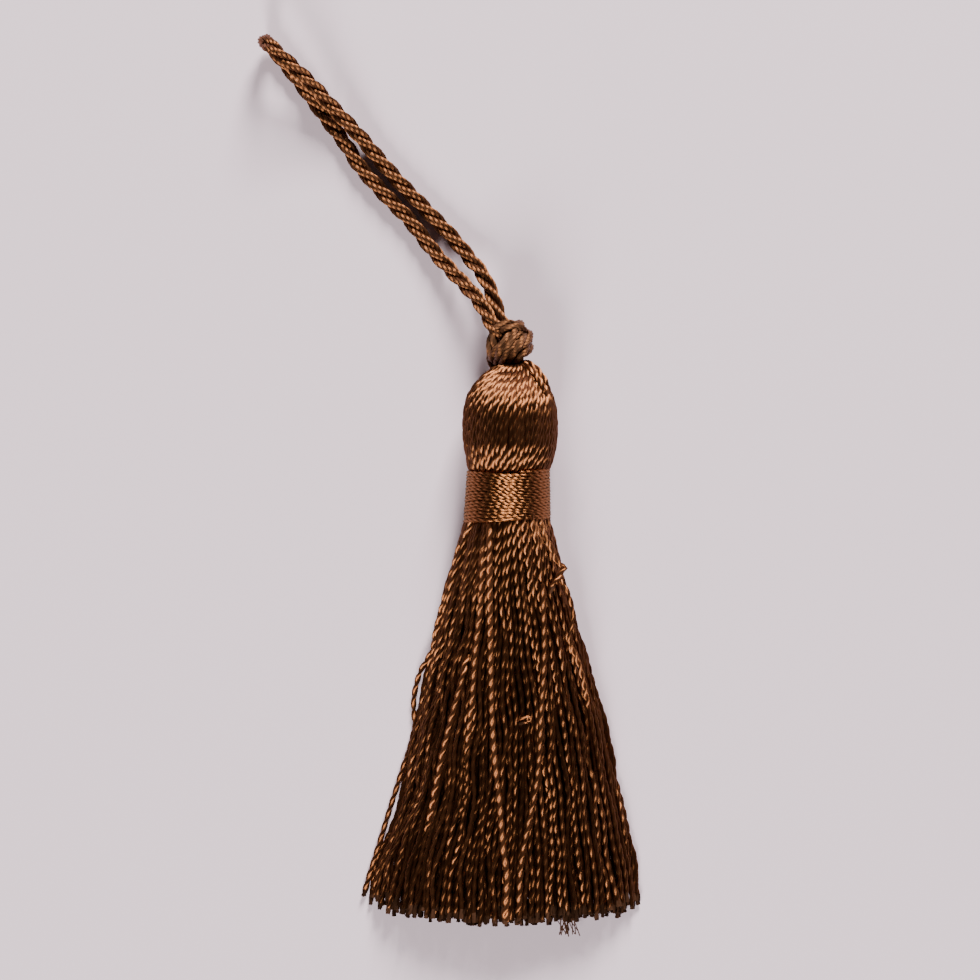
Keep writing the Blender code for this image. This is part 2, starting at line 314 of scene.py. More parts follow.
class YarnPile:
    """Gathers swept yarns and joins them into one mesh."""

    def __init__(self, name: str) -> None:
        """Starts an empty pile for the piece of this name."""
        self.name = name
        self.rings: list[np.ndarray] = []
        self.lays: list[np.ndarray] = []
        self.tones: list[float] = []

    def add_rings(self, rings: np.ndarray, lay: np.ndarray, tone: float) -> None:
        """Adds one closed tube.

        Args:
            rings: The points of each ring, as rings x points x 3, in mm.
            lay: For each ring, its place along the yarn and how far its filaments have turned.
            tone: How light the yarn is, from 0 to 1.
        """
        self.rings.append(with_end_rings(rings))
        self.lays.append(with_end_rings(lay))
        self.tones.append(tone)

    def add_yarn(
        self,
        line: np.ndarray,
        lay: Lay,
        phase: float,
        tone: float,
        width: np.ndarray | float = 1.0,
        opening: np.ndarray | float = 1.0,
    ) -> None:
        """Adds a yarn of two plies along a line whose points are a step of the lay apart.

        Args:
            line: The yarn's middle line, in mm.
            lay: How the yarn is twisted.
            phase: Where its twist starts, in radians.
            tone: How light the yarn is, from 0 to 1.
            width: The yarn's thickness at each point, as a share of the lay's.
            opening: How far apart its plies are at each point, as a share of the lay's.
        """
        width = np.broadcast_to(width, len(line))
        for ply in range(2):
            start = phase + math.pi * ply
            middle = wound_round(line, lay.apart * width * opening, lay.pitch, lay.twist, start)
            self.add_tube(middle, lay.ply_radius * width, lay.sides, tone, lay.filament_pitch)

    def add_tube(
        self,
        line: np.ndarray,
        radius: np.ndarray | float,
        sides: int,
        tone: float,
        filament_pitch: float = math.inf,
    ) -> None:
        """Adds a round tube along a line.

        Args:
            line: The tube's middle line, in mm.
            radius: Its radius, the same all along or at each point.
            sides: How many points each ring has.
            tone: How light the yarn is, from 0 to 1.
            filament_pitch: The length in which the filaments on its surface turn round it once.
        """
        side, rise = steady_frames(line)
        angle = np.linspace(0, math.tau, sides, endpoint=False)
        reach = np.broadcast_to(np.reshape(radius, (-1, 1)), (len(line), 1))[..., None]
        spokes = (
            side[:, None] * np.cos(angle)[None, :, None]
            + rise[:, None] * np.sin(angle)[None, :, None]
        )
        along = lengths_along(line)
        lay = np.stack([along, along / filament_pitch], axis=1)
        self.add_rings(line[:, None] + reach * spokes, lay, tone)

    def make(self, material: Material, ends: Material | None = None) -> Object:
        """Joins the pile into one object.

        Args:
            material: The finish of every yarn in the pile.
            ends: The finish of the yarns' cut ends, where they show.

        Returns:
            The new object, at the origin.
        """
        corners, loops, totals, places, tones, flat, frayed = [], [], [], [], [], [], []
        first = 0
        for number, (rings, lay, tone) in enumerate(zip(self.rings, self.lays, self.tones)):
            count, sides, _ = rings.shape
            grid = first + np.arange(count * sides).reshape(count, sides)
            following = np.roll(grid, -1, axis=1)
            walls = np.stack([grid[:-1], following[:-1], following[1:], grid[1:]], axis=-1)
            loops += [walls.ravel(), grid[0, ::-1], grid[-1]]
            totals += [np.full((count - 1) * sides, 4), [sides, sides]]
            flat += [np.zeros((count - 1) * sides, dtype=bool), [True, True]]
            # The filaments fan out and turn dull at the cut, over two to four walls of both plies.
            dull_walls = 2 + number // 2 % 3
            dull = np.arange(count - 1) >= count - 1 - dull_walls
            frayed += [np.repeat(dull, sides), [True, True]]
            start = np.arange(sides) / sides
            end = start + 1 / sides
            along, turned = lay[:, 0][:, None], lay[:, 1][:, None]
            near, far = slice(None, -1), slice(1, None)
            corner_places = [
                np.stack(np.broadcast_arrays(along[rows], turned[rows] + around), axis=-1)
                for rows, around in ((near, start), (near, end), (far, end), (far, start))
            ]
            places.append(np.stack(corner_places, axis=2).reshape(-1, 2))
            cap = np.stack([np.cos(math.tau * start), np.sin(math.tau * start)], axis=1)
            cap *= END_UV_RADIUS
            places += [cap[::-1] + lay[0], cap + lay[-1]]
            corners.append(rings.reshape(-1, 3) * MM)
            tones.append(np.full(count * sides, tone))
            first += count * sides
        mesh = bpy.data.meshes.new(self.name)
        all_loops, all_totals = np.concatenate(loops), np.concatenate(totals)
        mesh.vertices.add(first)
        mesh.vertices.foreach_set("co", np.concatenate(corners).ravel())
        mesh.loops.add(len(all_loops))
        mesh.loops.foreach_set("vertex_index", all_loops)
        mesh.polygons.add(len(all_totals))
        mesh.polygons.foreach_set("loop_start", np.cumsum(all_totals) - all_totals)
        mesh.update(calc_edges=True)
        uv = mesh.uv_layers.new(name=YARN_UV)
        uv.data.foreach_set("uv", np.concatenate(places).ravel())
        tone_layer = mesh.attributes.new(YARN_TONE, "FLOAT", "POINT")
        tone_layer.data.foreach_set("value", np.concatenate(tones))
        mesh.polygons.foreach_set("use_smooth", ~np.concatenate(flat))
        mesh.materials.append(material)
        if ends:
            mesh.materials.append(ends)
            mesh.polygons.foreach_set("material_index", np.concatenate(frayed).astype(np.int32))
        mesh.validate()
        made = bpy.data.objects.new(self.name, mesh)
        bpy.context.scene.collection.objects.link(made)
        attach(made, "root")
        return made


# Finishes


@dataclass(frozen=True)
class RayonFinish:
    """Viscose rayon filament yarn: smooth parallel filaments, so it gleams across their length.

    Attributes:
        name: The material's name.
        deep: The darkest dye colour, on the darkest filaments of the darkest yarns.
        dyed: The usual dye colour.
        gleam: The colour of the light that comes back off the filaments.
        index: The refractive index, raised for filaments that lie many layers deep.
        roughness: How wide the gleam is.
        stretch: How much wider the gleam is across the filaments than along them.
        layers: The colour left in light that comes slantwise through the outer filaments.
        darkest: How much of the dye shows on the darkest yarns.
        lightening: How much more of it shows on the lightest.
    """

    name: str
    deep: str = "080402"
    dyed: str = "28150b"
    gleam: str = "ffa468"
    index: float = 2.0
    roughness: float = 0.46
    stretch: float = 1.0
    layers: str = CLEAR
    darkest: float = 0.25
    lightening: float = 1.1

    def material(self) -> Material:
        """Makes the material.

        Returns:
            A material that reads the yarn's own UV map and tone.
        """
        made = bpy.data.materials.new(self.name)
        made.use_nodes = True
        tree = made.node_tree
        tree.nodes.clear()
        add = partial(add_node, tree)
        lay = add("UVMap", uv_map=YARN_UV)
        tone = add("Attribute", attribute_name=YARN_TONE)
        # Filament bundles are about 0.05 mm thick and run along the ply.
        stretched = add("Mapping", {"Vector": lay.outputs["UV"], "Scale": (0.35, 9.0, 1.0)})
        noise = {"Vector": stretched.outputs["Vector"], "Scale": 1.0, "Detail": 3.0}
        filaments = add("TexNoise", noise).outputs["Fac"]
        shares = {0: tone.outputs["Fac"], 1: self.lightening, 2: self.darkest}
        lightness = add("Math", shares, operation="MULTIPLY_ADD")
        uneven = add("Math", {0: filaments, 1: lightness.outputs["Value"]}, operation="MULTIPLY")
        dyes = {"Factor": uneven.outputs["Value"], 6: linear(self.deep), 7: linear(self.dyed)}
        dye = add("Mix", dyes, data_type="RGBA")
        bump = add("Bump", {"Height": filaments, "Strength": 0.35, "Distance": 0.03 * MM})
        # The filaments run along U, and the gleam spreads across them.
        tangent = add("Tangent", direction_type="UV_MAP", uv_map=YARN_UV)
        shader = add(
            "BsdfPrincipled",
            {
                "Base Color": dye.outputs[2],
                "Roughness": self.roughness,
                "IOR": self.index,
                "Specular IOR Level": 1.0,
                "Specular Tint": linear(self.gleam),
                "Anisotropic": self.stretch,
                "Anisotropic Rotation": 0.25,
                "Coat Weight": 0.0 if self.layers == CLEAR else 1.0,
                "Coat IOR": 1.0,
                "Coat Tint": linear(self.layers),
                "Tangent": tangent.outputs["Tangent"],
                "Normal": bump.outputs["Normal"],
            },
        )
        output = add("OutputMaterial", {"Surface": shader.outputs["BSDF"]})
        output.is_active_output = True
        return made


# Skirt


@dataclass
class LooseYarns:
    """Yarns of the skirt that have worked loose and lie open over the others."""

    lay: Lay = field(
        default_factory=lambda: Lay(ply_radius=0.205, apart=0.165, pitch=2.62, sides=8)
    )
    # How they swell towards the cut end: distances from it, and the thickness at the middle one.
    end_places: tuple[float, ...] = (0.0, 2.0, 6.0)
    end_swell: float = 1.12
    # The first lies on top and gleams down to its flattened end; its tone is the lightest, painted
    # light for that gleam.
    yarns: tuple[StrayYarn, ...] = (
        StrayYarn(width=1.0, tone=1.0, end_width=1.45, route=(
            (-1.35, 11.2, 7.9), (-1.3, 7.6, 8.2), (-1.28, 4.5, 7.55), (-1.2, -2.0, 6.17),
            (-1.1, -7.9, 5.6), (-0.97, -11.1, 5.4), (-0.71, -14.6, 5.26), (-0.33, -17.9, 5.16),
            (-0.09, -20.9, 5.1), (0.14, -23.5, 5.0), (0.46, -25.6, 4.92), (0.36, -28.9, 4.76),
            (0.34, -30.6, 4.62),
        )),
        StrayYarn(width=0.9, tone=0.6, route=(
            (4.1, 4.0, 6.1), (4.25, -3.5, 5.75), (3.95, -9.0, 5.5), (3.83, -12.4, 5.35),
            (3.42, -16.7, 5.2), (2.56, -20.9, 5.02), (1.94, -24.4, 4.85), (1.7, -28.6, 4.55),
            (1.66, -30.7, 4.35),
        )),
        # Left of the first, sinking between the others halfway down.
        StrayYarn(width=0.95, tone=0.8, route=(
            (-1.95, 7.5, 7.3), (-2.09, 4.85, 7.05), (-2.26, 1.28, 6.5), (-2.6, -1.58, 6.05),
            (-2.85, -4.34, 5.78), (-3.1, -7.9, 5.45), (-3.5, -12.0, 4.75), (-3.8, -15.0, 4.3),
            (-4.05, -18.0, 3.6), (-4.3, -21.0, 2.4),
        )),
        # Crosses the others slantwise on the left.
        StrayYarn(width=0.9, tone=0.7, route=(
            (-3.5, -2.0, 3.9), (-3.9, -4.8, 5.3), (-4.85, -8.4, 5.25), (-5.66, -11.5, 4.85),
            (-6.25, -14.0, 4.45), (-6.85, -17.0, 3.9), (-7.4, -20.0, 3.15), (-7.9, -23.0, 2.1),
        )),
        # Bows out on the left, then is the outermost yarn down to the hem.
        StrayYarn(width=0.85, tone=0.1, route=(
            (-4.35, 8.0, 4.6), (-5.15, 5.0, 3.7), (-6.2, 1.5, 2.6), (-7.0, -2.4, 1.5),
            (-8.45, -5.2, 0.9), (-9.08, -8.0, 0.5), (-8.95, -11.2, 0.42), (-9.35, -12.6, 0.42),
            (-10.2, -15.0, 0.42), (-11.85, -20.2, 0.4), (-13.1, -24.3, 0.38), (-14.25, -28.1, 0.38),
        )),
        # A frayed kink and a loose curl on the right.
        StrayYarn(width=0.75, tone=0.9, route=(
            (4.7, 8.4, 6.2), (5.0, 7.5, 6.0), (5.45, 6.45, 5.7), (5.92, 5.9, 5.4),
            (6.36, 5.58, 5.2), (6.12, 5.26, 5.25), (5.7, 4.7, 5.4), (5.15, 3.9, 5.5),
            (4.75, 2.9, 5.2),
        )),
        StrayYarn(width=0.70, tone=0.5, route=(
            (5.6, 4.6, 5.0), (6.4, 3.6, 5.3), (6.85, 2.5, 5.2), (7.2, 0.9, 4.9), (7.0, -0.5, 5.1),
            (6.8, -1.6, 5.1), (7.2, -2.8, 4.8), (7.8, -4.2, 4.2), (8.4, -6.6, 3.3),
            (8.8, -9.0, 2.3), (9.0, -11.5, 1.2),
        )),
        # A tiny crosswise tangle in the middle.
        StrayYarn(width=0.36, tone=0.4, route=(
            (1.5, -9.9, 5.6), (2.1, -9.6, 6.15), (2.75, -9.5, 6.1), (2.85, -9.9, 6.1),
            (2.3, -10.1, 6.15), (1.7, -10.25, 5.7),
        )),
        # A short end outside the hem on the right.
        StrayYarn(width=0.9, tone=0.5, route=(
            (11.0, -24.5, 0.9), (11.45, -27.2, 0.5), (11.7, -29.2, 0.39), (11.85, -30.3, 0.39),
        )),
    )

    def gather(self, chance: Chance) -> YarnPile:
        """Lays the loose yarns.

        Args:
            chance: Where their small differences come from.

        Returns:
            The pile of them.
        """
        pile = YarnPile("loose_yarns")
        for stray in self.yarns:
            line = smooth_route(np.array(stray.route), self.lay.step)
            from_end = lengths_along(line)[::-1]
            swelling = [stray.end_width, self.end_swell, 1.0]
            widths = stray.width * np.interp(from_end, self.end_places, swelling)
            phase = chance.uniform(0, math.tau)
            pile.add_yarn(line, self.lay, phase, stray.tone, widths)
        return pile


@dataclass
class FrayedTuft:
    """Filaments that have come out of one yarn at the hem, each as thick as several real ones."""

    # The ends are the middles of the tuft's root and tip.
    filaments: int = 18
    ends: tuple[Point, Point] = ((6.35, -29.0, 2.6), (6.95, -31.9, 0.9))
    spread: float = 0.65
    uneven: float = 0.4
    bow: float = 0.1
    step: float = 0.3
    radius: float = 0.05
    sides: int = 4
    tone: float = 0.6

    def gather(self, chance: Chance) -> YarnPile:
        """Lays the filaments.

        Args:
            chance: Where their small differences come from.

        Returns:
            The pile of them.
        """
        pile = YarnPile("frayed_filaments")
        for _ in range(self.filaments):
            root, tip = (
                np.array(end)
                + [self.spread * chance.normal(), chance.uniform(-self.uneven, self.uneven), 0]
                for end in self.ends
            )
            middle = (root + tip) / 2 + [self.bow * chance.normal(), 0, 0]
            line = smooth_route(np.array([root, middle, tip]), self.step)
            pile.add_tube(line, self.radius, self.sides, self.tone)
        return pile


@dataclass
class Skirt:
    """The cut ends of the yarn bundle, fanned out below the binding."""

    yarns: int = 250
    seed: int = 11
    pieces: int = 4
    lay: Lay = field(default_factory=Lay)
    hidden_lay: Lay = field(default_factory=lambda: Lay(steps_per_turn=6, sides=4))
    neck_radius: float = 3.90
    length: float = 41.35
    length_scatter: float = 0.6
    # The rows are measured from this far above the binding's lower edge.
    rows_above_neck: float = 0.3
    # How the bundle slumps from round to a mound. The last two are in yarn radii: the depth at
    # its sides, and the least height of a yarn's middle.
    slump_over: float = 17.0
    slump_curve: float = 0.8
    least_depth: float = 2.2
    lowest: float = 1.36
    # How the yarns of a row push each other apart.
    packing: float = 1.16
    rounds: int = 28
    push: float = 0.22
    # How far a yarn sways, its long and its short sways, and where they are at full strength.
    wander: float = 0.16
    wander_up: float = 0.75
    waves: tuple[tuple[tuple[float, float], float], ...] = (((9, 16), 1.0), ((4.5, 8), 0.45))
    swaying: tuple[float, float] = (0.2, 1.6)
    steady_over: float = 12.0
    path_step: float = 0.4
    # A yarn is in sight near the sides, or within this many yarn radii of the top.
    seen_beyond: float = 0.9
    seen_depth: float = 3.2
    rows: tuple[SkirtRow, ...] = (
        SkirtRow(-2.0, -3.5, 4.4, 8.3), SkirtRow(0.0, -3.95, 4.85, 8.5),
        SkirtRow(2.0, -4.5, 5.38, 8.3), SkirtRow(4.0, -5.1, 5.85, 7.85),
        SkirtRow(8.0, -6.2, 6.9, 7.05), SkirtRow(12.0, -7.05, 8.1, 6.5),
        SkirtRow(16.0, -8.1, 9.2, 6.1), SkirtRow(20.0, -8.85, 10.5, 5.8),
        SkirtRow(24.0, -9.8, 11.3, 5.5), SkirtRow(28.0, -10.45, 12.15, 5.3),
        SkirtRow(32.0, -11.85, 13.0, 5.1), SkirtRow(36.0, -13.2, 13.85, 4.9),
        SkirtRow(43.0, -14.3, 14.8, 4.6),
    )
    # How far apart a yarn's plies may lie and how long its turns may be, as shares of the lay's.
    twisting: tuple[float, float] = (0.50, 1.08)
    pitching: tuple[float, float] = (0.90, 1.10)
    # The yarns puff up on the right, where they leave the binding, and lie low on the left.
    puff: float = 0.60
    puff_middle: float = -1.2
    puff_over: float = 2.5
    puff_sink: float = 0.8
    puff_below: float = -0.8
    puff_reach: float = 2.0
    # Those that leave the neck on the left are pulled straight and lie smooth there.
    pulled: Profile = ((-3.2, -1.8), (0.5, 1.0))
    pulled_to: float = 10.0
    pulled_over: float = 8.0
    # How open and how thick every yarn is along it, and how thick towards its cut end.
    opening: Profile = ((4.0, 10.0), (0.84, 1.0))
    swelling: Profile = ((3.0, 8.0, 14.0, 30.0), (1.18, 1.02, 0.93, 1.0))
    end_swelling: Profile = ((0.0, 0.5, 1.6), (1.12, 1.06, 1.0))
    # The twists lie in step where the yarns leave the binding, and lose it further down.
    phase_across: float = 0.6
    in_step_at: float = 4.8
    phase_scatter: float = 0.5
    loose: LooseYarns = field(default_factory=LooseYarns)
    tuft: FrayedTuft = field(default_factory=FrayedTuft)

    def places(self) -> np.ndarray:
        """Spreads the yarns evenly over the unit disc.

        Returns:
            For each yarn, its place across and up, from -1 to 1.
        """
        number = np.arange(self.yarns) + 0.5
        radius, turn = np.sqrt(number / self.yarns), number * math.pi * (3 - math.sqrt(5))
        return np.stack([radius * np.cos(turn), radius * np.sin(turn)], axis=1)

    def floor_and_top(self, across: np.ndarray, row: SkirtRow) -> tuple[np.ndarray, np.ndarray]:
        """Finds the bundle's underside and top at places across one row.

        Args:
            across: Places from -1 to 1.
            row: The row.

        Returns:
            The heights of the underside and the top: round at the neck, a mound further down.
        """
        slumped = min(1.0, max(0.0, row.below_neck / self.slump_over))
        roundness = 1 - slumped**self.slump_curve
        edge = np.sqrt(np.clip(1 - across**2, 0.0, 1.0))
        floor = roundness * (AXIS_Z - self.neck_radius * edge)
        thickness = row.crown - roundness * (AXIS_Z - self.neck_radius)
        return floor, floor + np.maximum(thickness * edge, self.least_depth * self.lay.reach)

    def settle(self) -> np.ndarray:
        """Packs the yarns side by side in every row, each starting from the row above it.

        Returns:
            For each row and yarn, its place across and its height.
        """
        shares = self.places()
        chord = np.sqrt(1 - shares[:, 0] ** 2 + 1e-9)
        across, height = shares[:, 0].copy(), (np.clip(shares[:, 1] / chord, -1, 1) + 1) / 2
        reach = self.lay.reach
        # A yarn counts as far from itself, and no two count as nearer than a hair's breadth.
        far, near, hardest = 9.0 * np.eye(self.yarns), 0.02, 2.0
        settled = []
        for row in self.rows:
            middle, half = (row.left + row.right) / 2, (row.right - row.left) / 2 - reach
            floor, top = self.floor_and_top(across, row)
            place = np.stack([middle + across * half, floor + reach], axis=1)
            place[:, 1] += height * (top - floor - 2 * reach)
            area = math.pi / 2 * half * (row.crown - self.floor_and_top(np.zeros(1), row)[0][0])
            spacing = math.sqrt(self.packing * area / self.yarns)
            for _ in range(self.rounds):
                offset = place[:, None] - place[None, :]
                distance = np.hypot(offset[..., 0], offset[..., 1]) + far
                push = np.clip(spacing / np.maximum(distance, near) - 1, 0, hardest)
                place = place + self.push * (offset * push[..., None]).sum(axis=1)
                across = np.clip((place[:, 0] - middle) / half, -1, 1)
                floor, top = self.floor_and_top(across, row)
                place[:, 0] = middle + across * half
                place[:, 1] = np.clip(place[:, 1], floor + reach, top - reach)
            height = np.clip((place[:, 1] - floor - reach) / (top - floor - 2 * reach), 0, 1)
            settled.append(place)
        return np.array(settled)

    def line(self, places: np.ndarray, lay: Lay, chance: Chance) -> np.ndarray:
        """Works out one yarn's middle line.

        Args:
            places: The yarn's place across and its height at each row.
            lay: How the yarn is twisted.
            chance: Where its small differences come from.

        Returns:
            The line's points, a step of the lay apart, in mm.
        """
        start = NECK_Y + self.rows_above_neck
        below = np.array([row.below_neck for row in self.rows])
        knots = np.stack([places[:, 0], start - below, places[:, 1]], axis=1)
        line = smooth_route(knots, self.path_step)
        along = lengths_along(line)
        settle = np.clip(along / self.steady_over, 0, 1)
        for axis, reach in ((0, 1.0), (2, self.wander_up)):
            waves = [(chance.uniform(*lengths), share) for lengths, share in self.waves]
            for wave, share in waves:
                sway = np.sin(math.tau * (along / wave + chance.random())) * settle
                strength = chance.uniform(*self.swaying)
                line[:, axis] += sway * reach * share * self.wander * strength
        puff = np.exp(-(((start - line[:, 1] - self.puff_below) / self.puff_reach) ** 2))
        rise = np.clip((line[:, 0] - self.puff_middle) / self.puff_over, -self.puff_sink, 1)
        line[:, 2] += self.puff * puff * rise
        line[:, 2] = np.maximum(line[:, 2], self.lowest * self.lay.reach)
        # The first row lies above the rows' start, up inside the binding.
        tucked_in = -self.rows[0].below_neck
        length = tucked_in + self.length + self.length_scatter * chance.uniform(-1, 0.7)
        return even_steps(line[along < length], lay.step)

    def shows(self, places: np.ndarray) -> bool:
        """Tells whether a yarn comes near the skirt's top or its sides.

        Args:
            places: The yarn's place across and its height at each row.

        Returns:
            Whether the yarn can be seen from above.
        """
        for row, (x, z) in zip(self.rows[2:], places[2:]):
            across = (2 * x - row.left - row.right) / (row.right - row.left)
            floor, top = self.floor_and_top(np.array([across]), row)
            if abs(across) > self.seen_beyond or z > top[0] - self.seen_depth * self.lay.reach:
                return True
        return False

    def add_yarn(self, pile: YarnPile, line: np.ndarray, lay: Lay, chance: Chance) -> None:
        """Twists one yarn along its line.

        Args:
            pile: The pile that takes the yarn.
            line: The yarn's middle line.
            lay: How the yarns of its kind are twisted.
            chance: Where its small differences come from.
        """
        apart = lay.apart * chance.uniform(*self.twisting)
        lay = replace(lay, apart=apart, pitch=lay.pitch * chance.uniform(*self.pitching))
        along = lengths_along(line)
        pulled = np.interp(line[0, 0], *self.pulled)
        let_go = np.clip((along - self.pulled_to) / self.pulled_over, 0, 1)
        opening = (pulled + (1 - pulled) * let_go) * np.interp(along, *self.opening)
        width = np.interp(along[::-1], *self.end_swelling) * np.interp(along, *self.swelling)
        phase = self.phase_across * line[0, 0] - math.tau * self.in_step_at / lay.pitch
        phase += chance.normal(0, self.phase_scatter)
        # Most of the yarns are dark.
        tone = chance.random() ** 2
        pile.add_yarn(line, lay, phase, tone, width, opening)

    def build(self, material: Material, loose: Material, ends: Material) -> list[Object]:
        """Lays every yarn of the skirt.

        Args:
            material: The yarns' finish.
            loose: The finish of the yarns that have worked loose, with a lighter dye painted in for
                the light they catch.
            ends: The finish of the cut ends.

        Returns:
            The skirt's pieces, the loose yarns and the frayed filaments last.
        """
        chance = np.random.default_rng(self.seed)
        piles = [YarnPile(f"skirt_yarns_{n + 1}") for n in range(self.pieces)]
        settled = self.settle()
        seen = 0
        for number in range(self.yarns):
            lay = self.lay if self.shows(settled[:, number]) else self.hidden_lay
            seen += lay is self.lay
            line = self.line(settled[:, number], lay, chance)
            self.add_yarn(piles[number % self.pieces], line, lay, chance)
        LOG.info("skirt: %d of %d yarns seen from above", seen, self.yarns)
        astray, tuft = self.loose.gather(chance), self.tuft.gather(chance)
        skirt = [pile.make(material, ends) for pile in piles]
        return [*skirt, astray.make(loose, ends), tuft.make(ends)]


# Head


@dataclass
class Head:
    """The bundle's folded top: yarns that run over a barrel and meet under the knot."""

    yarns: int = 64
    under_yarns: int = 54
    under_depth: float = 0.22
    seed: int = 5
    # How uneven the yarns' spacing and depth are, and how they sway, in radians.
    uneven: float = 0.07
    depth_scatter: float = 0.04
    sway: float = 0.02
    sway_waves: tuple[float, float] = (0.4, 0.8)
    barrel_step: float = 0.3
    # Where the yarns crowd together at the top, every other one sinks below the rest.
    crowded_from: float = 7.0
    crowded_over: float = 2.5
    crowded_depth: float = 0.30
    least_radius: float = 0.15
    lay: Lay = field(default_factory=lambda: Lay(ply_radius=0.200, apart=0.105))
    rows: tuple[HeadRow, ...] = (
        HeadRow(-0.8, 4.0, 3.72, -0.15), HeadRow(0.1, 4.34, 4.13, -0.1),
        HeadRow(1.05, 4.56, 4.52, 0.0), HeadRow(2.2, 4.8, 4.85, 0.0), HeadRow(3.7, 4.92, 4.9, 0.0),
        HeadRow(5.3, 4.87, 4.84, 0.0), HeadRow(6.0, 4.77, 4.72, 0.0), HeadRow(6.6, 4.64, 4.49, 0.0),
        HeadRow(7.0, 4.5, 4.28, 0.0), HeadRow(7.5, 4.33, 3.95, 0.0), HeadRow(8.2, 3.93, 3.38, 0.1),
        HeadRow(8.75, 3.58, 2.83, 0.2), HeadRow(9.2, 3.18, 2.31, 0.3),
        HeadRow(9.7, 2.67, 1.68, 0.38), HeadRow(10.0, 2.2, 1.45, 0.42),
        HeadRow(10.2, 1.5, 0.95, 0.45), HeadRow(10.3, 0.8, 0.6, 0.45),
    )
    # Two yarns that lie over the others on the right shoulder.
    shoulder: tuple[StrayYarn, ...] = (
        StrayYarn(width=1.0, tone=1.0, route=(
            (1.7, 26.6, 4.6), (2.8, 26.4, 4.9), (3.5, 25.85, 5.2), (4.1, 25.1, 5.55),
            (4.5, 24.3, 5.75), (4.65, 23.6, 5.45), (4.45, 22.9, 5.0),
        )),
        StrayYarn(width=1.0, tone=1.0, route=(
            (1.6, 26.3, 5.0), (2.3, 26.1, 5.5), (3.0, 25.65, 6.05), (3.6, 24.85, 6.6),
            (4.1, 23.9, 6.85), (4.35, 23.1, 6.6), (4.3, 22.4, 6.1),
        )),
    )

    def add_layer(self, pile: YarnPile, count: int, depth: float, chance: Chance) -> None:
        """Lays one layer of yarns over the barrel.

        Args:
            pile: The pile that takes the yarns.
            count: How many yarns go round the head.
            depth: How far under the head's surface the layer lies.
            chance: Where the yarns' small differences come from.
        """
        levels = np.array(self.rows)
        barrel = smooth_route(levels[:, [0, 1, 2]], self.barrel_step)
        off_axis = np.interp(barrel[:, 0], levels[:, 0], levels[:, 3])
        for number in range(count):
            turn = math.tau * (number + chance.uniform(-self.uneven, self.uneven)) / count
            crowding = np.clip((barrel[:, 0] - self.crowded_from) / self.crowded_over, 0, 1)
            sunk = self.lay.reach + depth + (number % 2) * self.crowded_depth * crowding
            scatter = self.depth_scatter
            across, up = (
                np.maximum(level - sunk + chance.uniform(-scatter, scatter), self.least_radius)
                for level in (barrel[:, 1], barrel[:, 2])
            )
            wave = barrel[:, 0] * chance.uniform(*self.sway_waves) + chance.uniform(0, 6)
            sway = self.sway * np.sin(wave)
            line = np.stack(
                [
                    AXIS_X + off_axis + across * np.sin(turn + sway),
                    HEAD_Y + barrel[:, 0],
                    np.maximum(AXIS_Z + up * np.cos(turn + sway), self.lay.reach + CLEARANCE),
                ],
                axis=1,
            )
            line = smooth_route(line, self.lay.step)
            pile.add_yarn(line, self.lay, chance.uniform(0, math.tau), chance.random())

    def build(self, material: Material) -> Object:
        """Lays every yarn of the head.

        Args:
            material: The yarns' finish.

        Returns:
            The head.
        """
        chance = np.random.default_rng(self.seed)
        pile = YarnPile("head_yarns")
        self.add_layer(pile, self.under_yarns, self.under_depth, chance)
        self.add_layer(pile, self.yarns, 0.0, chance)
        for stray in self.shoulder:
            line = smooth_route(np.array(stray.route), self.lay.step)
            pile.add_yarn(line, self.lay, chance.uniform(0, 6), stray.tone, stray.width)
        return pile.make(material)


# Neck binding


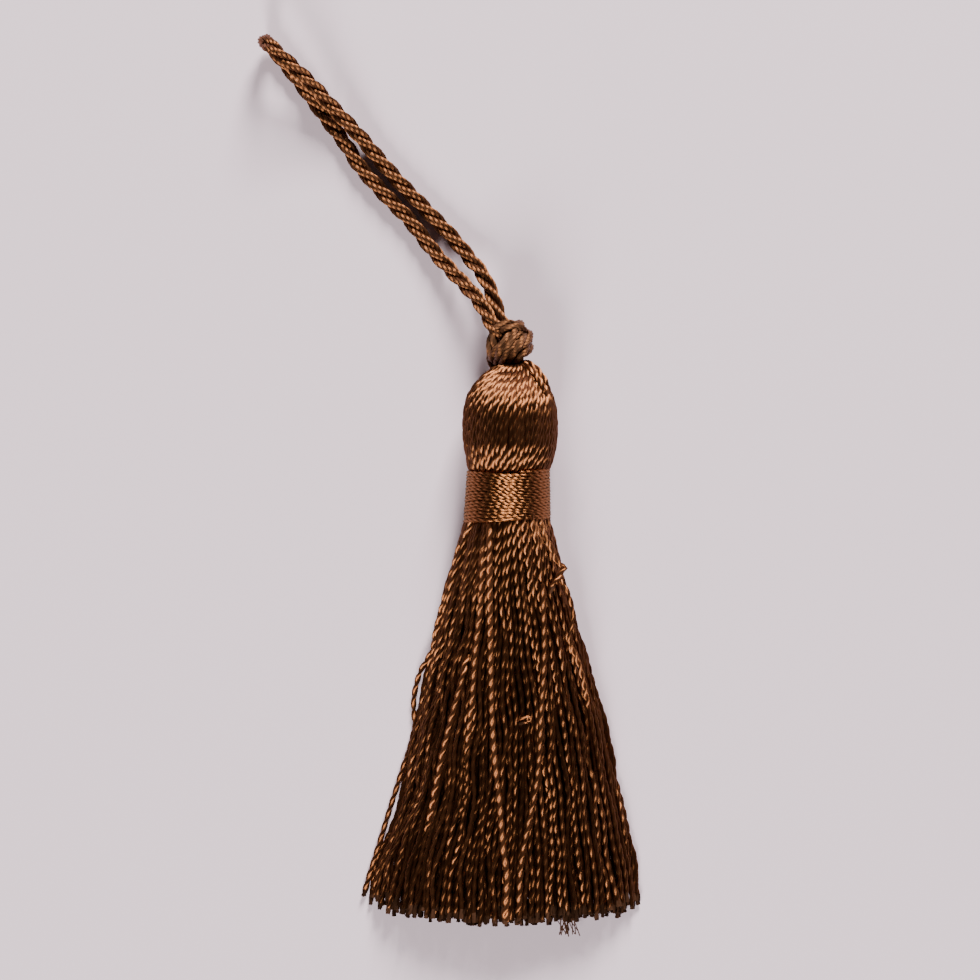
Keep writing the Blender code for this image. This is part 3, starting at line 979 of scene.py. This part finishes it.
@dataclass
class NeckBinding:
    """Fine yarn wound round the neck in close turns, over a first layer of the same yarn."""

    turns: float = 16.2
    low_radius: float = 4.30
    high_radius: float = 4.08
    # How far the neck leans off the axis at its foot, and the share of that lost at its top.
    lean: float = -0.30
    lean_lost: float = 0.45
    # Where the first and the last turn lie above the neck's end.
    low: float = 0.33
    high: float = 5.42
    # How the first turns tilt, the top ones sag and the middle ones lie slantwise on the crown.
    low_tilt: float = 0.26
    top_sag: float = 0.32
    slant: float = 0.24
    # No two turns lie quite alike, because this many waves go into one turn.
    wander: float = 0.02
    waves: float = 2.37
    under_depth: float = 0.11
    under_tone: float = 0.4
    tones: tuple[float, float] = (0.3, 0.9)
    # The share of a turn at which the tassel lies on it.
    underside: float = 0.75
    seed: int = 3
    points: int = 1900
    fewest_points: int = 4
    lay: Lay = field(default_factory=lambda: Lay(ply_radius=0.122, apart=0.068, pitch=1.9))

    def wind(self, depth: float, low: float, high: float) -> np.ndarray:
        """Works out the middle line of one layer.

        Args:
            depth: How far under the binding's surface the layer lies.
            low: Where its first turn lies above the neck's end.
            high: Where its last turn lies.

        Returns:
            The line's points, a step of the lay apart, in mm.
        """
        turn = np.linspace(0, math.tau * self.turns, self.points)
        share = turn / turn[-1]
        radius = self.low_radius + (self.high_radius - self.low_radius) * share - depth
        lift = self.low_tilt * np.cos(turn) * (1 - share)
        # The sag sets in at three eighths of the binding's length.
        near_top = np.clip(share * 1.6 - 0.6, 0, 1)
        lift -= self.top_sag * np.maximum(0.0, np.sin(turn)) ** 2 * near_top
        slant = self.slant * np.sin(math.pi * share) * np.sin(2 * turn)
        lift += self.wander * np.sin(self.waves * turn) - slant
        line = np.stack(
            [
                AXIS_X + self.lean * (1 - self.lean_lost * share) + radius * np.cos(turn),
                NECK_Y + low + (high - low) * share + lift,
                np.maximum(AXIS_Z + radius * np.sin(turn), self.lay.reach + CLEARANCE),
            ],
            axis=1,
        )
        return even_steps(line, self.lay.step)

    def build(self, material: Material) -> Object:
        """Winds the binding.

        Args:
            material: The yarn's finish.

        Returns:
            The binding.
        """
        chance = np.random.default_rng(self.seed)
        pile = YarnPile("binding_yarn")
        half_turn = 0.5 * (self.high - self.low) / self.turns
        under = self.wind(self.under_depth, self.low + half_turn, self.high - half_turn)
        pile.add_yarn(under, self.lay, chance.uniform(0, 6), self.under_tone)
        over = self.wind(0.0, self.low, self.high)
        # The twist slips a little on each turn, so each is drawn by itself, from the underside.
        turned = np.linspace(0, self.turns, len(over))
        breaks = np.searchsorted(turned, np.arange(self.underside, self.turns, 1.0))
        for start, end in zip([0, *breaks], [*breaks, len(over)]):
            if end - start > self.fewest_points:
                turn, phase = over[start : end + 1], chance.uniform(0, 6)
                pile.add_yarn(turn, self.lay, phase, chance.uniform(*self.tones))
        return pile.make(material)


# Hanging cord


@dataclass
class LaidCord:
    """Cord laid from three strands, each of a few fine yarns twisted the other way."""

    # The cord's thickness where nothing pulls it tight.
    diameter: float = 1.60
    lay: float = 6.7
    twist: Twist = Twist.S
    strands: int = 3
    strand_circle: float = 0.43
    yarns: int = 5
    yarn_circle: float = 0.245
    yarn_radius: float = 0.14
    yarn_pitch: float = 3.5
    # Cores fill the cord and its strands, to these shares of the circles round them. They take the
    # darkest tone: painted shade in the grooves between the strands.
    core: float = 0.75
    strand_core: float = 0.8
    step: float = 0.22
    sides: int = 6

    @property
    def reach(self) -> float:
        """The cord's greatest radius, in mm."""
        return self.strand_circle + self.yarn_circle + self.yarn_radius

    def lay_along(self, pile: YarnPile, route: np.ndarray, chance: Chance) -> None:
        """Lays the cord's strands along a route, round a thin core.

        Args:
            pile: The pile that takes the yarns.
            route: The cord's middle line, in mm.
            chance: Where the yarns' small differences come from.
        """
        middle = even_steps(route, self.step)
        # Both cores take the darkest tone, painted shade where the grooves between strands and
        # yarns show them.
        pile.add_tube(middle, self.core * self.strand_circle, self.sides, 0.0)
        for strand in range(self.strands):
            start = math.tau * strand / self.strands
            line = wound_round(middle, self.strand_circle, self.lay, self.twist, start)
            pile.add_tube(line, self.strand_core * self.yarn_circle, self.sides, 0.0)
            for yarn in range(self.yarns):
                start = math.tau * yarn / self.yarns
                yarn_line = wound_round(line, self.yarn_circle, self.yarn_pitch, Twist.Z, start)
                pile.add_tube(yarn_line, self.yarn_radius, self.sides, chance.random())


@dataclass
class HangingLoop:
    """The loop of cord: from the knot along the right leg, round the tip and back on the left."""

    cord: LaidCord = field(default_factory=LaidCord)
    tip: tuple[float, float] = (-25.0, 49.2)
    tip_heading: float = math.radians(135)
    tip_bend: float = 2.1
    tip_low: float = 0.775
    tip_angles: tuple[float, ...] = (80, 45, 15, -15, -45, -80)
    step: float = 0.5
    seed: int = 2
    # The legs' routes from the neck and the tassel's axis, and where each goes on into the knot,
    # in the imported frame.
    right_leg: Route = (
        (-1.05, 20.8, 3.45), (-1.4, 22.0, 3.15), (-1.85, 23.4, 2.75), (-2.75, 25.3, 2.1),
        (-4.05, 27.0, 1.4), (-6.3, 29.7, 0.9), (-9.0, 32.5, 0.84), (-11.6, 35.2, 0.84),
        (-13.85, 37.8, 0.95), (-15.95, 40.2, 1.6), (-18.25, 42.6, 2.35), (-20.45, 44.95, 3.4),
    )
    left_leg: Route = (
        (-20.9, 44.3, 0.84), (-19.05, 41.75, 0.84), (-17.05, 39.1, 0.84), (-15.3, 36.4, 0.84),
        (-12.8, 33.6, 0.84), (-10.2, 30.9, 0.86), (-7.9, 27.9, 1.15), (-5.6, 25.35, 2.05),
        (-3.6, 23.2, 3.35), (-2.65, 21.75, 4.1), (-2.0, 20.45, 4.75),
    )
    right_end: Route = ((0.55, 29.3, 4.0), (0.15, 30.1, 3.7))
    left_end: Route = ((-0.65, 29.85, 5.0), (-0.1, 29.2, 4.7))

    def route(self) -> np.ndarray:
        """Joins the legs and the bend at the tip.

        Returns:
            The cord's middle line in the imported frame, in mm.
        """
        heading = np.array([math.cos(self.tip_heading), math.sin(self.tip_heading), 0.0])
        middle = np.array([*self.tip, 0.0]) - heading * self.tip_bend
        middle[2] = self.tip_low + self.tip_bend
        bight = [
            middle
            + self.tip_bend * (heading * math.cos(angle) + np.array([0, 0, math.sin(angle)]))
            for angle in np.radians(self.tip_angles)
        ]
        points = np.array([*self.right_leg, *bight, *self.left_leg])
        return smooth_route(points, self.step) + np.array([AXIS_X, NECK_Y, 0.0])

    def build(self, material: Material) -> Object:
        """Args:
            material: The cord's finish.

        Returns:
            The cord.
        """
        route = self.route()
        pile = YarnPile("hanging_cord")
        into_knot = np.array([*self.right_end, *route[::2], *self.left_end])
        into_knot[:, 2] = np.maximum(into_knot[:, 2], self.cord.reach)
        chance = np.random.default_rng(self.seed)
        self.cord.lay_along(pile, smooth_route(into_knot, ROUTE_STEP), chance)
        made = pile.make(material)
        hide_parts("hanging_loop")
        return made


# Knot


@dataclass
class Knot:
    """The tight overhand knot of the doubled cord, laid pass by pass round the two legs.

    Attributes:
        cord: The cord, pulled thin in the knot.
        seed: The start of the knot's random numbers.
        wraps: Closed passes, over the top from the upper right and back underneath.
        ends: Open passes: the legs going in, the outer bends, and the cord going into the head.
    """

    cord: LaidCord = field(
        default_factory=lambda: LaidCord(
            lay=6.0,
            strand_circle=0.35,
            yarn_circle=0.175,
            yarn_radius=0.15,
            yarn_pitch=3.4,
            step=0.2,
        )
    )
    seed: int = 4
    wraps: tuple[Route, ...] = (
        (
            (0.05, 28.6, 2.5), (0.87, 29.6, 2.8), (1.55, 30.2, 3.6), (1.7, 30.15, 4.6),
            (1.28, 29.5, 5.6), (0.56, 28.65, 6.1), (-0.3, 27.75, 5.6), (-0.9, 27.1, 4.4),
            (-0.75, 27.5, 3.2), (0.05, 28.6, 2.5),
        ),
        (
            (0.77, 27.95, 2.4), (1.8, 28.8, 2.8), (2.5, 29.25, 3.6), (2.55, 29.1, 4.6),
            (2.05, 28.6, 5.6), (1.23, 27.9, 6.0), (0.3, 27.15, 5.4), (-0.36, 26.6, 4.3),
            (-0.15, 27.05, 3.1), (0.77, 27.95, 2.4),
        ),
        (
            (1.5, 27.35, 2.5), (2.25, 27.95, 3.0), (2.55, 28.15, 3.8), (2.4, 27.85, 4.8),
            (1.68, 27.3, 5.4), (0.87, 26.75, 4.9), (0.45, 26.35, 4.0), (0.7, 26.7, 3.0),
            (1.5, 27.35, 2.5),
        ),
    )
    ends: tuple[Route, ...] = (
        # Down the knot's left edge to the head.
        (
            (-0.45, 30.1, 3.7), (-0.8, 29.8, 4.5), (-0.95, 29.1, 4.9), (-1.02, 28.2, 4.8),
            (-1.05, 27.3, 4.3), (-0.85, 26.5, 3.7), (-0.3, 26.1, 3.7),
        ),
        # Over the top from the left leg to the right.
        (
            (-0.95, 29.5, 4.2), (-0.45, 29.95, 5.1), (0.3, 30.2, 5.55), (1.1, 30.15, 5.5),
            (1.8, 29.75, 5.2), (2.25, 29.2, 4.6), (2.5, 28.7, 4.0),
        ),
        # The two legs go on through the middle, into the head.
        ((-0.1, 29.6, 4.0), (0.3, 28.9, 4.1), (0.7, 27.9, 3.9), (0.8, 26.6, 3.9), (0.8, 25.2, 4.3)),
        ((0.7, 29.5, 3.9), (1.2, 28.4, 3.9), (1.5, 27.4, 3.9), (1.7, 26.4, 3.9), (1.7, 25.2, 4.2)),
    )

    def build(self, material: Material) -> Object:
        """Lays the knot.

        Args:
            material: The cord's finish.

        Returns:
            The knot.
        """
        pile = YarnPile("knot_cord")
        chance = np.random.default_rng(self.seed)
        for route in (*self.wraps, *self.ends):
            self.cord.lay_along(pile, smooth_route(np.array(route), ROUTE_STEP), chance)
        made = pile.make(material)
        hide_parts("knot")
        return made


# Studio


class Softbox(NamedTuple):
    """A soft light: where it hangs, in mm, and its power in watts."""

    name: str
    place: Point
    power: float


@dataclass
class Studio:
    """A pale table top, soft light from both ends of the tassel, and a camera straight above."""

    frame_width: float = 100.0
    view_middle: tuple[float, float] = (-1.27, 13.52)
    height: float = 620.0
    # How high above the table the picture is frame_width wide.
    in_scale_at: float = 3.0
    sensor: float = 36.0
    floor_colour: str = "d8c3cb"
    lit_middle: Point = (0, 10, 0)
    softbox_size: tuple[float, float] = (220.0, 330.0)
    softboxes: tuple[Softbox, ...] = (
        Softbox("top_softbox", (144.0, 688.0, 400.0), 18.4),
        Softbox("low_softbox", (-144.0, -668.0, 400.0), 12.2),
    )
    air_colour: str = "f4f2f4"
    air_strength: float = 0.05

    def place_camera(self) -> None:
        """Puts the camera above the table with the photograph's framing."""
        data = bpy.data.cameras.new("camera")
        data.sensor_width = self.sensor
        data.lens = self.sensor * (self.height - self.in_scale_at) / self.frame_width
        data.clip_end = 5.0
        camera = bpy.data.objects.new("camera", data)
        camera.location = Vector((*self.view_middle, self.height)) * MM
        bpy.context.scene.collection.objects.link(camera)
        bpy.context.scene.camera = camera

    def lay_floor(self) -> None:
        """Lays the plain table top."""
        shape = bmesh.new()
        bmesh.ops.create_grid(shape, x_segments=1, y_segments=1, size=1.5)
        mesh = bpy.data.meshes.new("table_top")
        shape.to_mesh(mesh)
        shape.free()
        made = bpy.data.materials.new("matt_paper")
        made.use_nodes = True
        shader = made.node_tree.nodes["Principled BSDF"]
        shader.inputs["Base Color"].default_value = linear(self.floor_colour)
        shader.inputs["Roughness"].default_value = 0.9
        mesh.materials.append(made)
        floor = bpy.data.objects.new("table_top", mesh)
        bpy.context.scene.collection.objects.link(floor)

    def add_light(self, softbox: Softbox) -> None:
        """Hangs one soft light that faces the tassel.

        Args:
            softbox: The light.
        """
        data = bpy.data.lights.new(softbox.name, "AREA")
        data.shape = "RECTANGLE"
        data.size, data.size_y = (side * MM for side in self.softbox_size)
        data.energy = softbox.power
        light = bpy.data.objects.new(softbox.name, data)
        light.location = Vector(softbox.place) * MM
        aim = Vector(self.lit_middle) * MM - light.location
        light.rotation_euler = aim.to_track_quat("-Z", "Y").to_euler()
        bpy.context.scene.collection.objects.link(light)

    def light(self) -> None:
        """Lights the table from both ends, with a little light from all round."""
        for softbox in self.softboxes:
            self.add_light(softbox)
        world = bpy.data.worlds.new("studio")
        world.use_nodes = True
        background = world.node_tree.nodes["Background"]
        background.inputs["Color"].default_value = linear(self.air_colour)
        background.inputs["Strength"].default_value = self.air_strength
        bpy.context.scene.world = world


def main() -> None:
    """Builds every piece in order."""
    logging.basicConfig(level=logging.INFO, format="%(name)s: %(message)s")
    studio = Studio()
    studio.place_camera()
    cord = RayonFinish("laid_rayon_cord", dyed="523423", index=1.85, roughness=0.56)
    loop = HangingLoop().build(cord.material())
    LOG.info("hanging loop: %d faces", len(loop.data.polygons))
    tight = RayonFinish("knotted_rayon_cord", dyed="6a4832", index=1.6, roughness=0.6)
    knot = Knot().build(tight.material())
    LOG.info("knot: %d faces", len(knot.data.polygons))
    yarn = RayonFinish("twisted_rayon_yarn").material()
    # Loose yarns lie open on top, so more of each ply catches the light; that extra light is
    # painted into them as a lighter dye, with a higher index for more gleam.
    loose = RayonFinish("loosened_rayon_yarn_painted_light", dyed="3a2114", index=2.15, roughness=0.52).material()
    # Cut across, the filaments show their ends, which swallow the light.
    ends = RayonFinish("cut_rayon_ends", dyed="4a3022", index=1.2, roughness=0.9).material()
    for piece in [*Skirt().build(yarn, loose, ends), Head().build(yarn)]:
        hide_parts("yarn_bundle")
        LOG.info("%s: %d faces", piece.name, len(piece.data.polygons))
    # Pulled tight and flat, the binding gleams less across its filaments.
    tight_yarn = RayonFinish(
        "wound_rayon_yarn", index=2.0, roughness=0.40, stretch=0.98, layers="f6f4ec"
    )
    binding = NeckBinding().build(tight_yarn.material())
    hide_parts("neck_binding")
    LOG.info("binding: %d faces", len(binding.data.polygons))
    studio.lay_floor()
    studio.light()


if __name__ == "__main__":
    main()
